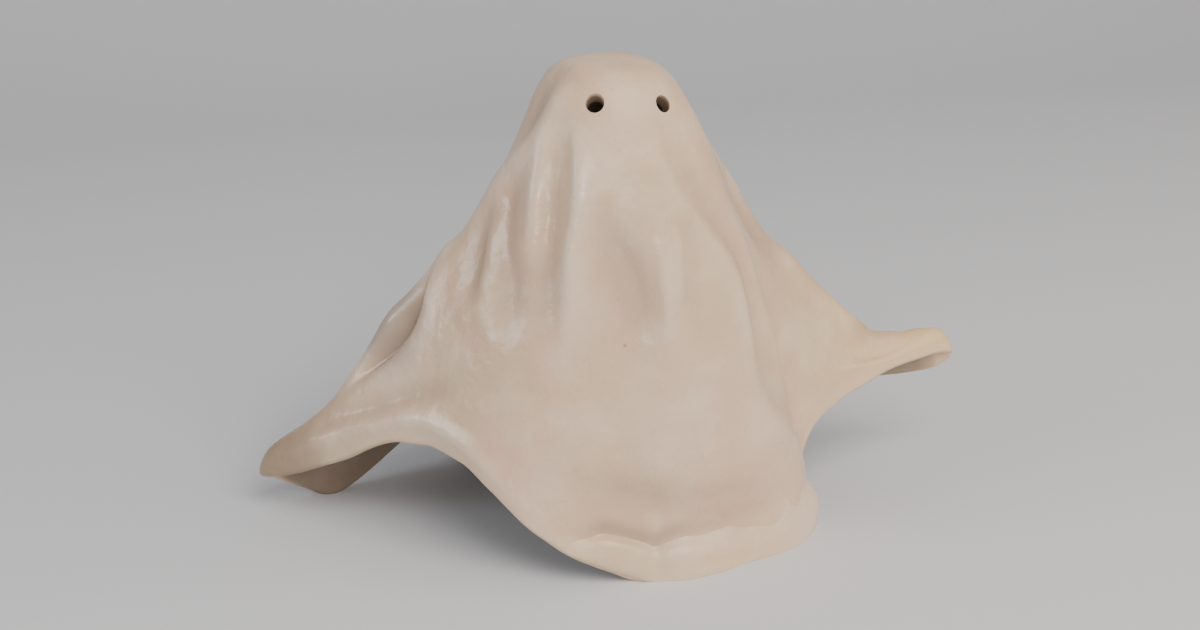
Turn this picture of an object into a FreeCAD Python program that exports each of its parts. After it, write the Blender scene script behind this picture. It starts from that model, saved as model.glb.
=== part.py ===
import FreeCAD, Part
import math
import os
from FreeCAD import Vector

# A sheet ghost in glazed clay: one rolled slab draped over a domed head, with two arms pulled out of it.
# Millimetres, +Z up, the face looks towards -Y, and the floor is z = 0.

os.makedirs("parts", exist_ok=True)
doc = FreeCAD.newDocument("draped_ghost")

# Sizes that stand alone. The four reaches are how far the hem stands out from the axis under the crown.
SIZES = [
    ("height", 150.0),
    ("front_reach", 40.0),
    ("right_reach", 125.0),
    ("back_reach", 78.0),
    ("left_reach", 114.0),
    ("slab", 4.6),
    ("rim_round", 1.3),
    ("eye_bore", 5.0),
    ("eye_spacing", 20.6),
    ("eye_middle", 1.2),
    ("eye_forward", 18.0),
    ("eye_drop", 9.4),
    ("eye_pitch", 38.0),
    ("eye_turn", 16.0),
    ("bead_under", 1.1),
    ("bead_sunk", 1.4),
]

# Rings of the head: half width, front depth, back depth, drop below the crown, sideways shift.
HEAD = {
    "crown": (8.5, 8.0, 8.0, -0.8, -3.0),
    "cap": (18.2, 17.0, 18.5, 1.8, -2.0),
    "brow": (24.6, 22.5, 24.5, 15.0, -1.0),
    "neck": (34.6, 28.5, 32.0, 37.0, 0.8),
}

# Stations round the hem, from the middle of the front towards the right arm and on round the back.
# Each has its bearing at the neck and at the hem, its share of a named reach, the height of its fold line,
# the sag on the way down, and how far the edge turns out and down past the fold line.
HEM = [
    (0, 1, "front", 0.95, 10, -2, 4, 9),
    (20, 18, "front", 1.025, 9, -3, 5, 9),
    (40, 42, "front", 1.125, 9, -4, 5, 9),
    (54, 62, "front", 1.45, 9, -5, 4, 9),
    (64, 77, "front", 1.6, 10, -4, 1, 9),
    (71, 83, "right", 0.488, 24, 0, 0, 6),
    (78, 88, "right", 0.544, 37, 3, 0, 6),
    (85, 94, "right", 0.68, 43, 11, 0, 5.5),
    (91, 98, "right", 0.824, 44, 14, 1, 3.5),
    (96, 100, "right", 0.952, 47, 15, 3, 6),
    (101, 102, "right", 1.0, 50, 16, 4, 11),
    (106, 104, "right", 0.968, 48, 15, 3, 15),
    (113, 108, "right", 0.824, 42, 15, 0, 10.5),
    (124, 118, "right", 0.672, 33, 8, 0, 7),
    (142, 138, "back", 0.949, 22, 0, 0, 6),
    (160, 160, "back", 0.974, 9, -2, 2, 9),
    (182, 182, "back", 1.0, 7, -2, 3, 8),
    (204, 204, "back", 0.974, 12, -2, 2, 8),
    (222, 222, "back", 0.987, 27, 0, 0, 7),
    (236, 236, "left", 0.754, 17, 1, 0, 8),
    (246, 245, "left", 0.846, 10, 2, 0, 10),
    (254, 249, "left", 0.947, 17, 7, 1, 9),
    (260, 253, "left", 1.0, 21, 9, 2, 8),
    (266, 256, "left", 0.939, 24, 8, 0, 9),
    (273, 262, "left", 0.754, 31, 4, 0, 7),
    (282, 270, "left", 0.614, 41, 2, 0, 6),
    (294, 281, "front", 1.475, 43, 0, 0, 6),
    (308, 298, "front", 1.325, 39, 0, 0, 6),
    (322, 315, "front", 1.225, 28, 0, 1, 7),
    (340, 337, "front", 1.05, 17, -1, 3, 7),
]
HEM_COLUMNS = ["neck_bearing", "bearing", "reach", "fold_height", "sag", "lip_out", "lip_down"]

# Folds of the sheet: the width on the left and on the right, then points from top to bottom, each with its
# station, its row down the sheet and how far it stands out. A valley stands in, so its height is below zero.
FOLDS = {
    "cheek_flat": (8, 8, [
        (24.2, 0.5, 0), (24.8, 1.0, -1.6), (25.6, 1.6, -1.6), (25.9, 2.2, -0.8), (26.0, 2.7, 0),
    ]),
    "cheek_ridge": (5, 5, [
        (26.8, 1.0, 0), (26.6, 1.5, 1.4), (26.1, 2.1, 1.8), (25.0, 2.6, 2.0), (23.6, 3.0, 2.0),
        (22.4, 3.4, 1.2), (21.6, 3.7, 0),
    ]),
    "left_eye_ridge": (2.4, 5, [
        (28.2, 1.8, 0), (28.35, 2.2, 0.9), (28.5, 2.7, 1.7), (28.5, 3.2, 1.8), (28.4, 3.6, 1.6),
        (28.43, 4.2, 1.2), (28.45, 4.8, 0.5), (28.5, 5.3, 0),
    ]),
    "left_eye_valley": (3.6, 3.0, [
        (27.6, 1.5, 0), (27.5, 2.0, -1.6), (27.57, 2.6, -2.3), (27.75, 3.4, -2.3),
        (27.85, 4.1, -1.8), (27.95, 4.7, -1.0), (28.0, 5.2, 0),
    ]),
    "second_valley": (5, 4, [
        (25.4, 2.6, 0), (25.6, 3.1, -1.4), (26.2, 3.8, -1.6), (26.7, 4.4, -1.4), (27.0, 5.0, -1.0),
        (27.1, 5.6, 0),
    ]),
    "side_dent": (9, 9, [
        (27.2, 3.8, 0), (27.3, 4.3, -1.2), (27.2, 4.9, -1.2), (27.1, 5.5, 0),
    ]),
    "shoulder_valley": (6, 3.5, [
        (23.6, 3.1, 0), (24.3, 3.6, -1.8), (24.9, 4.1, -2.6), (25.3, 4.6, -2.0), (25.6, 5.1, 0),
    ]),
    "shoulder_ridge": (3, 6, [
        (21.8, 3.5, 0), (22.5, 4.0, 1.0), (23.1, 4.34, 1.6), (23.75, 4.7, 1.8), (24.05, 5.0, 1.6),
        (24.1, 5.25, 1.5), (23.9, 5.55, 1.2), (23.5, 5.9, 0.8), (23.1, 6.3, 0),
    ]),
    "shoulder_back": (5, 2.6, [
        (21.7, 3.9, 0), (22.4, 4.3, -2.5), (23.0, 4.7, -4.0), (23.35, 5.0, -4.2),
        (23.4, 5.2, -4.2), (23.2, 5.45, -3.4), (22.9, 5.75, -1.6), (22.6, 6.1, 0),
    ]),
    "rear_strip": (7, 4, [
        (20.9, 3.6, 0), (21.4, 4.0, 2.8), (21.8, 4.5, 4.6), (22.0, 5.0, 4.6), (22.1, 5.5, 3.0),
        (22.2, 6.1, 0),
    ]),
    "arm_groove": (4, 4, [
        (26.2, 6.7, 0), (25.6, 6.9, -1.2), (25.1, 7.0, -1.9), (24.6, 7.05, -1.9),
        (24.0, 6.92, -1.6), (23.6, 7.0, -1.0), (23.2, 7.1, 0),
    ]),
    "middle_valley": (8.5, 2.8, [
        (28.95, 2.9, 0), (29.2, 3.15, -0.8), (29.45, 3.4, -1.5), (29.75, 3.65, -2.1),
        (30.1, 3.9, -2.7), (30.38, 4.2, -3.0), (30.5, 4.5, -2.6), (30.5, 4.8, -1.6),
        (30.45, 5.2, 0),
    ]),
    "long_valley": (4, 5.5, [
        (31.2, 1.7, 0), (31.4, 2.2, -1.2), (31.6, 2.8, -1.6), (32.05, 3.15, -1.8),
        (32.85, 3.65, -2.4), (33.3, 4.1, -2.8), (33.35, 4.6, -2.8), (33.3, 5.1, -2.4),
        (33.15, 5.6, -2.0), (33.3, 6.1, -1.6), (34.2, 6.7, -1.2), (34.8, 7.2, 0),
    ]),
    "right_arm_kink": (7, 7, [
        (36.4, 2.6, 0), (37.0, 3.0, -1.8), (37.9, 3.6, -3.4), (38.9, 4.0, -2.8), (39.8, 4.3, 0),
    ]),
    "hem_hollow": (6, 6, [
        (28.3, 6.9, 0), (29.0, 7.06, -0.8), (29.6, 7.03, -1.4), (30.42, 7.09, -1.6),
        (31.4, 7.23, -1.4), (32.45, 7.35, -1.0), (33.2, 7.45, 0),
    ]),
    "temple": (6, 6, [
        (24.0, 1.2, 0), (24.0, 1.6, -1.2), (24.1, 2.1, -1.5), (24.2, 2.6, 0),
    ]),
    "right_slope": (6, 6, [
        (9.0, 2.5, 0), (9.6, 2.9, 1.3), (10.1, 3.3, 1.5), (10.3, 3.9, 0),
    ]),
    "arm_saddle": (6, 6, [
        (8.4, 5.9, 0), (9.2, 6.0, -1.6), (10.4, 6.1, -1.6), (11.4, 6.1, 0),
    ]),
}

# The edge is turned up on itself along the front: station, row of the bead's top, how proud it stands.
BEAD = [
    (28.8, 7.84, 1.2),
    (29.1, 7.7, 1.8),
    (29.6, 7.6, 2.4),
    (30.1, 7.63, 2.2),
    (30.8, 7.57, 2.2),
    (31.4, 7.54, 2.5),
    (32.0, 7.6, 2.2),
    (32.6, 7.6, 2.2),
    (33.2, 7.62, 2.4),
    (33.7, 7.55, 2.8),
    (34.1, 7.6, 2.4),
    (34.4, 7.8, 1.2),
]

DEGREE = 3
COLUMNS = 60
DROP_SHARES = [0.22, 0.45, 0.67, 0.86, 1.0]

sheet = doc.addObject("Spreadsheet::Sheet", "Sizes")
names = []


def put(name, value):
    """Write one named size into the next row of the sheet."""
    names.append(name)
    cell = "B%d" % len(names)
    sheet.set("A%d" % len(names), name)
    sheet.set(cell, str(value))
    sheet.setAlias(cell, name)


def put_all(start, labels, values):
    for label, value in zip(labels, values):
        put("%s_%s" % (start, label), value)


for name, value in SIZES:
    put(name, value)
for ring_name, values in HEAD.items():
    put_all(ring_name, ["half_width", "front", "back", "drop", "shift"], values)
for station, (neck_bearing, bearing, side, *rest) in enumerate(HEM):
    put_all("station_%d" % station, HEM_COLUMNS, [neck_bearing, bearing] + rest)
for fold_name, (left, right, path) in FOLDS.items():
    put_all(fold_name, ["left", "right"], [left, right])
    for spot, values in enumerate(path):
        put_all("%s_%d" % (fold_name, spot), ["station", "row", "height"], values)
for spot, values in enumerate(BEAD):
    put_all("bead_%d" % spot, ["station", "row", "proud"], values)
doc.recompute()


def size(name):
    return float(sheet.get(name))


def table(start, labels):
    return [size("%s_%s" % (start, label)) for label in labels]


height = size("height")
slab = size("slab")
stations = [table("station_%d" % station, HEM_COLUMNS) for station in range(len(HEM))]
for station, (neck_bearing, bearing, side, *rest) in zip(stations, HEM):
    station[2] *= size(side + "_reach")


def blend(before, here, there, after, share):
    """Smooth value between here and there, with the slope of the neighbours."""
    start = (there - before) * 0.5
    end = (after - here) * 0.5
    rise = there - here
    return here + (start + (rise * 3 - start * 2 - end + (start + end - rise * 2) * share) * share) * share


def around(column, place, lap=0.0):
    """Smooth value of a column of the hem table, counted in stations. lap is what one lap adds to it."""
    index = HEM_COLUMNS.index(column)
    count = len(stations)

    def at(station):
        return stations[station % count][index] + lap * (station // count)

    def slope(station):
        before = at(station) - at(station - 1)
        after = at(station + 1) - at(station)
        if before * after <= 0:
            return 0.0
        return 2 * before * after / (before + after)

    first = math.floor(place)
    share = place - first
    rise = at(first + 1) - at(first)
    start = slope(first)
    end = slope(first + 1)
    bend = 3 * rise - 2 * start - end
    twist = start + end - 2 * rise
    return at(first) + share * (start + share * (bend + share * twist))


def outward(bearing):
    return Vector(math.sin(math.radians(bearing)), -math.cos(math.radians(bearing)), 0)


# The control net: one column per step round the sheet, each from the crown down to the edge.
columns = []
for step in range(COLUMNS):
    place = step * len(HEM) / COLUMNS
    neck_way = outward(around("neck_bearing", place, 360))
    way = outward(around("bearing", place, 360))
    column = [Vector(size("crown_shift"), 0, height)]
    for ring_name in HEAD:
        deep = size(ring_name + "_front") if neck_way.y < 0 else size(ring_name + "_back")
        x = size(ring_name + "_shift") + size(ring_name + "_half_width") * neck_way.x
        column.append(Vector(x, deep * neck_way.y, height - size(ring_name + "_drop")))
    neck = column[-1]
    fold = way * around("reach", place) + Vector(0, 0, around("fold_height", place))
    sag = around("sag", place)
    for share in DROP_SHARES:
        belly = Vector(0, 0, 5.2 * sag * share * (1 - share) * (0.4 + share))
        column.append(neck + (fold - neck) * share - belly)
    lip = way * around("lip_out", place) - Vector(0, 0, around("lip_down", place))
    column.append(fold + lip)
    columns.append(column)

rows = len(columns[0])
spans = rows - DEGREE


def skin_through(net):
    """A cubic skin through the net: closed round the sheet, clamped at the crown and the edge."""
    skin = Part.BSplineSurface()
    skin.buildFromPolesMultsKnots(
        net,
        [1] * (COLUMNS + 1),
        [DEGREE + 1] + [1] * (spans - 1) + [DEGREE + 1],
        list(range(COLUMNS + 1)),
        list(range(spans + 1)),
        True,
        False,
        DEGREE,
        DEGREE,
    )
    return skin


plain = skin_through(columns)


def across(station):
    """Where a station is round the skin. The skin counts its columns from one past the net's first."""
    return (station * COLUMNS / len(HEM) - 1) % COLUMNS


def facing(u, v):
    """The way that the unfolded sheet faces, out of the figure."""
    return -plain.normal(u, v)


def drawn(points, steps):
    """A smooth run of values through the points of a path."""
    points = [Vector(*point) for point in points]
    ends = [points[0] * 2 - points[1]] + points + [points[-1] * 2 - points[-2]]
    run = []
    for k in range(1, len(ends) - 2):
        run += [blend(*ends[k - 1:k + 3], step / steps) for step in range(steps)]
    return run + [points[-1]]


# Each fold pushes the net in or out by how near it is to the fold's line. A skin follows its net only part
# of the way, so the net goes further than the fold is high.
GAIN = 1.3
PATH_STEPS = 4
fold_lines = []
for fold_name, (left, right, path) in FOLDS.items():
    points = [table("%s_%d" % (fold_name, spot), ["station", "row", "height"]) for spot in range(len(path))]
    course = drawn(points, PATH_STEPS)
    line = [(plain.value(across(spot.x), spot.y), spot.z) for spot in course]
    fold_lines.append((size(fold_name + "_left"), size(fold_name + "_right"), line))


def push(spot, way_out, left, right, line):
    """How far one fold moves a point of the skin."""
    nearest = None
    for (start, low), (end, high) in zip(line[:-1], line[1:]):
        way = end - start
        share = max(0.0, min(1.0, (spot - start).dot(way) / way.dot(way)))
        gap = spot - start - way * share
        if nearest is None or gap.Length < nearest[0]:
            nearest = (gap.Length, low + (high - low) * share, way.cross(gap).dot(way_out))
    width = right if nearest[2] > 0 else left
    return nearest[1] * math.exp(-(nearest[0] / width) ** 2)


knots = [0] * DEGREE + list(range(spans + 1)) + [spans] * DEGREE
folded = [list(column) for column in columns]
for step in range(COLUMNS):
    u = (step - 1) % COLUMNS
    for row in range(2, rows):
        v = sum(knots[row + 1:row + 1 + DEGREE]) / DEGREE
        spot = plain.value(u, v)
        way_out = facing(u, v)
        moved = sum(push(spot, way_out, left, right, line) for left, right, line in fold_lines)
        folded[step][row] += way_out * moved * GAIN
surface = skin_through(folded)

# The skin is handed over in patches, half a column wide, with a line round the shoulders between upper and
# lower. Each is cut out of a larger piece, because a piece that ends at the patch's own edge has more facets.
SHOULDER = 4
INSIDE_ROWS = [1, 2, 3, 4.5, 6, 7, 8]


def patch(start, end, top, bottom):
    lap = COLUMNS if start < 1 else 0
    piece = surface.copy()
    piece.segment(start + lap - 1, end + lap + 1, max(0, top - 1), min(spans, bottom + 1))
    return piece.toShape(start + lap, end + lap, top, bottom)


def facet(*corners):
    return Part.Face(Part.makePolygon(list(corners) + [corners[0]]))


BEND_REACH = [-3, -1.5, 0, 1.5, 3]


def inside(step, row):
    """The point one slab in from the outer face, less far in where the sheet bends round an arm."""
    ways = [facing((step + aside) % COLUMNS, row) for aside in BEND_REACH]
    return surface.value(step, row) - sum(ways, Vector()) * (slab / len(ways))


def rim_point(step):
    """The middle of the worn edge, between the outer and the inner face."""
    edge = surface.value(step, spans)
    along = edge - surface.value(step, spans - 0.3)
    return (edge + inside(step, spans)) * 0.5 + along.normalize() * size("rim_round")


rings = [[inside(step, row) for step in range(COLUMNS)] for row in INSIDE_ROWS]
apex = Vector(size("crown_shift"), 0, height - slab)
hem_edge = surface.vIso(spans)
faces = []
for step in range(COLUMNS):
    ahead = (step + 1) % COLUMNS
    middle = step + 0.5
    rim = [rim_point(place) for place in (step, middle, ahead)]
    for start, end, rim_line in ((step, middle, rim[:2]), (middle, step + 1, rim[1:])):
        faces.append(patch(start, end, 0, SHOULDER))
        faces.append(patch(start, end, SHOULDER, spans))
        faces.append(Part.makeRuledSurface(hem_edge.toShape(start, end), Part.makeLine(*rim_line)))
    faces.append(facet(apex, rings[0][ahead], rings[0][step]))
    for upper, lower in zip(rings[:-1], rings[1:]):
        faces.append(facet(upper[step], lower[step], lower[ahead]))
        faces.append(facet(upper[step], lower[ahead], upper[ahead]))
    faces.append(facet(rim[0], rings[-1][step], rim[1]))
    faces.append(facet(rings[-1][step], rings[-1][ahead], rim[1]))
    faces.append(facet(rings[-1][ahead], rim[2], rim[1]))


def closed_solid(name, faces):
    shell = Part.makeShell(faces)
    shell.sewShape(1e-4)
    body = doc.addObject("Part::Feature", name)
    body.Shape = Part.Solid(shell.Shells[0])
    return body


raw_sheet = closed_solid("raw_sheet", faces)

# The floor takes off whatever the sheet lets hang below it, which leaves flat feet.
floor_block = doc.addObject("Part::Box", "floor_block")
floor_block.setExpression("Length", "4 * Sizes.height")
floor_block.setExpression("Width", "4 * Sizes.height")
floor_block.setExpression("Height", "Sizes.height")
floor_block.setExpression("Placement.Base.x", "-2 * Sizes.height")
floor_block.setExpression("Placement.Base.y", "-2 * Sizes.height")
floor_block.setExpression("Placement.Base.z", "-Sizes.height")

# Each eye is punched square to the face, by a rod that stands as far out of the slab as it goes in.
punches = []
for side, name in ((-1, "eye_punch_left"), (1, "eye_punch_right")):
    punch = doc.addObject("Part::Cylinder", name)
    punch.setExpression("Radius", "Sizes.eye_bore / 2")
    punch.setExpression("Height", "5 * Sizes.slab")
    turn = "(%d * Sizes.eye_turn * 1deg)" % side
    pitch = "(Sizes.eye_pitch * 1deg)"
    across_face = "Sizes.eye_middle + %d * Sizes.eye_spacing / 2" % side
    punch.setExpression(
        "Placement",
        "placement(vector("
        + across_face + " - 2.5 * Sizes.slab * sin(" + turn + ") * cos(" + pitch + "); "
        + "-Sizes.eye_forward + 2.5 * Sizes.slab * cos(" + turn + ") * cos(" + pitch + "); "
        + "Sizes.height - Sizes.eye_drop - 2.5 * Sizes.slab * sin(" + pitch + ")); "
        + "rotation(" + turn + "; 0deg; 90deg - " + pitch + "))",
    )
    punches.append(punch)

waste = doc.addObject("Part::MultiFuse", "waste")
waste.Shapes = [floor_block] + punches
draped_slab = doc.addObject("Part::Cut", "draped_slab")
draped_slab.Base = raw_sheet
draped_slab.Tool = waste

# The bead along the front hem: rings measured on the skin, from a line above the edge to just under it.
# The rings are half a column apart and lie beside the patches' own edges.
BEAD_SIDES = 10
BEAD_STEP = 0.5
BEAD_ASIDE = 0.2


def bead_ring(u, top_row, proud):
    edge = surface.value(u, spans)
    down = edge - surface.value(u, spans - 0.25)
    pace = down.Length / 0.25
    down.normalize()
    top = (edge - surface.value(u, top_row)).Length
    ring = []
    for side in range(BEAD_SIDES):
        angle = 2 * math.pi * side / BEAD_SIDES
        up = (top - size("bead_under") + (top + size("bead_under")) * math.cos(angle)) / 2
        v = min(spans, spans - up / pace)
        lift = proud * max(0.0, math.sin(angle)) ** 1.2 + size("bead_sunk") * min(0.0, math.sin(angle)) - 0.3
        ring.append(surface.value(u, v) - down * min(0.0, up) + facing(u, v) * lift)
    return ring


bead_spots = [table("bead_%d" % spot, ["station", "row", "proud"]) for spot in range(len(BEAD))]
bead_line = drawn(bead_spots, PATH_STEPS)


def on_bead(station):
    """The bead's top row and height at a station, between the two nearest points of its line."""
    for start, end in zip(bead_line[:-1], bead_line[1:]):
        if station <= end.x:
            break
    share = (station - start.x) / (end.x - start.x)
    return start.y + (end.y - start.y) * share, start.z + (end.z - start.z) * share


per_station = COLUMNS / len(HEM) / BEAD_STEP
ring_count = math.floor((bead_line[-1].x - bead_line[0].x) * per_station)
first_ring = math.ceil(bead_line[0].x * per_station) + BEAD_ASIDE
ring_places = [(first_ring + ring) / per_station for ring in range(ring_count)]
bead_rings = [bead_ring(across(place), *on_bead(place)) for place in ring_places]
bead_faces = []
for ring, next_ring in zip(bead_rings[:-1], bead_rings[1:]):
    for side in range(BEAD_SIDES):
        ahead = (side + 1) % BEAD_SIDES
        bead_faces.append(facet(ring[side], next_ring[ahead], next_ring[side]))
        bead_faces.append(facet(ring[side], ring[ahead], next_ring[ahead]))
for ring in (bead_rings[0], bead_rings[-1]):
    middle = sum(ring, Vector()) * (1 / BEAD_SIDES)
    for side in range(BEAD_SIDES):
        bead_faces.append(facet(middle, ring[side], ring[(side + 1) % BEAD_SIDES]))
raw_bead = closed_solid("raw_bead", bead_faces)
fitted_bead = doc.addObject("Part::Cut", "fitted_bead")
fitted_bead.Base = raw_bead
fitted_bead.Tool = raw_sheet
front_hem_roll = doc.addObject("Part::Cut", "front_hem_roll")
front_hem_roll.Base = fitted_bead
front_hem_roll.Tool = floor_block
doc.recompute()

for item in doc.Objects:
    if "Invalid" in item.State or "Error" in item.State:
        raise RuntimeError(item.Name + " did not build")
    if hasattr(item, "Shape") and (item.Shape.isNull() or not item.Shape.isValid()):
        raise RuntimeError(item.Name + " has no sound shape")

# The origin is under the middle of the bounding box.
box = draped_slab.Shape.optimalBoundingBox(False, False)
for item in (draped_slab, front_hem_roll):
    item.Placement = FreeCAD.Placement(Vector(-box.Center.x, -box.Center.y, 0), FreeCAD.Rotation())
    item.Label = item.Name
    item.Shape.exportStep("parts/%s.step" % item.Name)
    print(item.Label, "volume", round(item.Shape.Volume), "solids", len(item.Shape.Solids))
print("size", round(box.XLength, 1), round(box.YLength, 1), round(box.ZLength, 1))
print("axis at", round(-box.Center.x, 2), round(-box.Center.y, 2))
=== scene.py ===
# %% [markdown]
# # A draped ghost in glazed clay
# The real thing is one rolled slab of clay, laid over a domed form like a bed sheet over a head.
# Two corners are pulled out into stubby arms, the front edge is rolled up on itself, and two eye
# holes are pushed through while the clay is soft. Then it is dipped in a cream satin glaze.
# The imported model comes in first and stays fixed: it says where everything goes.

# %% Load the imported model
import math

import bpy
import bmesh
import numpy as np
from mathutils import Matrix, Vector
from mathutils.kdtree import KDTree


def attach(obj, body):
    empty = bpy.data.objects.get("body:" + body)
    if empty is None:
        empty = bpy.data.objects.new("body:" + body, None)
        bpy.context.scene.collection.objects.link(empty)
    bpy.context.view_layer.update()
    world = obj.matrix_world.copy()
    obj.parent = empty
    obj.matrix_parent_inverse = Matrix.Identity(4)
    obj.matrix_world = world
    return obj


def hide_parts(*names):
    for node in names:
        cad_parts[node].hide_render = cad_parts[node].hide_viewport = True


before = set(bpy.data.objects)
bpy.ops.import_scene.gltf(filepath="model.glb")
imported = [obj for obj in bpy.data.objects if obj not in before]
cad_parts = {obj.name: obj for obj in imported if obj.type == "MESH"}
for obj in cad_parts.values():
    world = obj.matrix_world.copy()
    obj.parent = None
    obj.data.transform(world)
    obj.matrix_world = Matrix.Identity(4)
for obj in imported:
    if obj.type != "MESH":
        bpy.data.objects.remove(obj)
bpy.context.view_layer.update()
MM = 0.001

# %% [markdown]
# ## The measures of the sheet
# A draped slab has no straight lines to measure, so its maker would note it as rings and stations:
# a few rings round the head, and then, going round the hem, how far out the edge stands and how
# high. Those two tables drive everything. They are the same as the solid's own, in millimetres,
# with the crown over x = 0, y = 0, so the looks and the solid stay one thing.
#
# A ring has its half width, its depth to the front and to the back, its drop below the crown and
# its shift to the right. A station has two bearings in degrees from the front, one at the neck and
# one at the hem, then how far out and how high its fold line is, its sag on the way there, and how
# far its lip goes out and down.

# %% Rings of the head and stations of the hem
HEIGHT = 150.0
SLAB = 4.6
AXIS = (-7.78, -18.21)
HEAD = [
    (8.5, 8.0, 8.0, -0.8, -3.0),
    (18.2, 17.0, 18.5, 1.8, -2.0),
    (24.6, 22.5, 24.5, 15.0, -1.0),
    (34.6, 28.5, 32.0, 37.0, 0.8),
]
HEM = [
    (0, 1, 38, 10, -2, 4, 9),
    (20, 18, 41, 9, -3, 5, 9),
    (40, 42, 45, 9, -4, 5, 9),
    (54, 62, 58, 9, -5, 4, 9),
    (64, 77, 64, 10, -4, 1, 9),
    (71, 83, 61, 24, 0, 0, 6),
    (78, 88, 68, 37, 3, 0, 6),
    (85, 94, 85, 43, 11, 0, 5.5),
    (91, 98, 103, 44, 14, 1, 3.5),
    (96, 100, 119, 47, 15, 3, 6),
    (101, 102, 125, 50, 16, 4, 11),
    (106, 104, 121, 48, 15, 3, 15),
    (113, 108, 103, 42, 15, 0, 10.5),
    (124, 118, 84, 33, 8, 0, 7),
    (142, 138, 74, 22, 0, 0, 6),
    (160, 160, 76, 9, -2, 2, 9),
    (182, 182, 78, 7, -2, 3, 8),
    (204, 204, 76, 12, -2, 2, 8),
    (222, 222, 77, 27, 0, 0, 7),
    (236, 236, 86, 17, 1, 0, 8),
    (246, 245, 96.5, 10, 2, 0, 10),
    (254, 249, 108, 17, 7, 1, 9),
    (260, 253, 114, 21, 9, 2, 8),
    (266, 256, 107, 24, 8, 0, 9),
    (273, 262, 86, 31, 4, 0, 7),
    (282, 270, 70, 41, 2, 0, 6),
    (294, 281, 59, 43, 0, 0, 6),
    (308, 298, 53, 39, 0, 0, 6),
    (322, 315, 49, 28, 0, 1, 7),
    (340, 337, 42, 17, -1, 3, 7),
]
NECK_BEARING, HEM_BEARING, REACH, FOLD_LINE, SAG, LIP_OUT, LIP_DOWN = range(7)
print(len(HEAD), "rings,", len(HEM), "stations")

# %% [markdown]
# ## Between two stations
# Thirty stations are too few to join with straight runs. A plain curve through them would swing
# past a high value and make a bump that no row of the table asks for. So the slope at a station is
# the harmonic mean of the rises before and after it, and level where the values turn back.

# %% Values between the stations
def around(column, place, lap=0.0):
    """Smooth value of one column of the hem table at a place counted in stations."""
    count = len(HEM)

    def at(station):
        return HEM[station % count][column] + lap * (station // count)

    def slope(station):
        before = at(station) - at(station - 1)
        after = at(station + 1) - at(station)
        return 0.0 if before * after <= 0 else 2 * before * after / (before + after)

    first = math.floor(place)
    share = place - first
    rise = at(first + 1) - at(first)
    start, end = slope(first), slope(first + 1)
    bend, twist = 3 * rise - 2 * start - end, start + end - 2 * rise
    return at(first) + share * (start + share * (bend + share * twist))


print("reach half way from the first station to the second", around(REACH, 0.5), "mm")

# %% [markdown]
# ## From the tables to a net
# The skin is steered by a net of points that lies close to it, since a few points are easier to
# move than a whole skin. Each column of the net starts at the crown, runs over the rings of the
# head, hangs to the fold line and ends at the lip. A hanging stretch may belly down by its sag,
# and more so in its lower half, as cloth does.

# %% The control net
COLUMNS = 60
DROP_SHARES = [0.22, 0.45, 0.67, 0.86, 1.0]
BELLY = 5.2
BELLY_ABOVE = 0.4


def outward(bearing):
    """The level way out from the middle, at a bearing."""
    return np.array([math.sin(math.radians(bearing)), -math.cos(math.radians(bearing)), 0.0])


def net_column(place):
    """Control points from the crown to the lip, at one place round the sheet."""
    neck_way = outward(around(NECK_BEARING, place, 360))
    way = outward(around(HEM_BEARING, place, 360))
    column = [np.array([HEAD[0][4], 0.0, HEIGHT])]
    for half_width, front, back, drop, shift in HEAD:
        deep = front if neck_way[1] < 0 else back
        column.append(np.array([shift + half_width * neck_way[0], deep * neck_way[1],
                                HEIGHT - drop]))
    neck = column[-1]
    fold = way * around(REACH, place) + np.array([0, 0, around(FOLD_LINE, place)])
    for share in DROP_SHARES:
        belly = BELLY * around(SAG, place) * share * (1 - share) * (BELLY_ABOVE + share)
        column.append(neck + (fold - neck) * share - np.array([0, 0, belly]))
    lip_drop = np.array([0, 0, around(LIP_DOWN, place)])
    column.append(fold + way * around(LIP_OUT, place) - lip_drop)
    return column


net = np.array([net_column(step * len(HEM) / COLUMNS) for step in range(COLUMNS)])
net = net.transpose(1, 0, 2)
SPANS = len(net) - 3
print("net", net.shape)

# %% [markdown]
# ## A smooth skin through the net
# The skin is a cubic B-spline: closed round the sheet, and clamped from the crown to the lip, so
# that it starts and ends on the net. Two small tables of weights say how much each net point
# counts at each point of a dense grid, and turn the net into that grid in one multiplication.

# %% Weights of the skin
TINY = 1e-9


def clamped_weights(count, rows):
    """Weights of a clamped cubic for each row of the grid."""
    knots = np.concatenate([np.zeros(3), np.arange(count - 2), np.full(3, count - 3)])
    knots = knots.astype(float)
    at = np.linspace(0, count - 3, rows)
    at[-1] -= TINY
    weights = ((at[:, None] >= knots[:-1]) & (at[:, None] < knots[1:])).astype(float)
    for degree in (1, 2, 3):
        grown = np.zeros((rows, len(knots) - 1 - degree))
        for k in range(grown.shape[1]):
            left, right = knots[k + degree] - knots[k], knots[k + degree + 1] - knots[k + 1]
            if left > 0:
                grown[:, k] += (at - knots[k]) / left * weights[:, k]
            if right > 0:
                grown[:, k] += (knots[k + degree + 1] - at) / right * weights[:, k + 1]
        weights = grown
    return weights


def closed_weights(count, steps):
    """Weights of a closed cubic for each step round."""
    at = np.arange(steps) / steps * count
    first, share = at.astype(int), at - at.astype(int)
    weights = np.zeros((steps, count))
    parts = [(1 - share) ** 3, 3 * share ** 3 - 6 * share ** 2 + 4,
             -3 * share ** 3 + 3 * share ** 2 + 3 * share + 1, share ** 3]
    for k, part in enumerate(parts):
        np.add.at(weights, (np.arange(steps), (first - 1 + k) % count), part / 6)
    return weights


print("weights add up to", clamped_weights(len(net), 5).sum(1).round(6))

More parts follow.
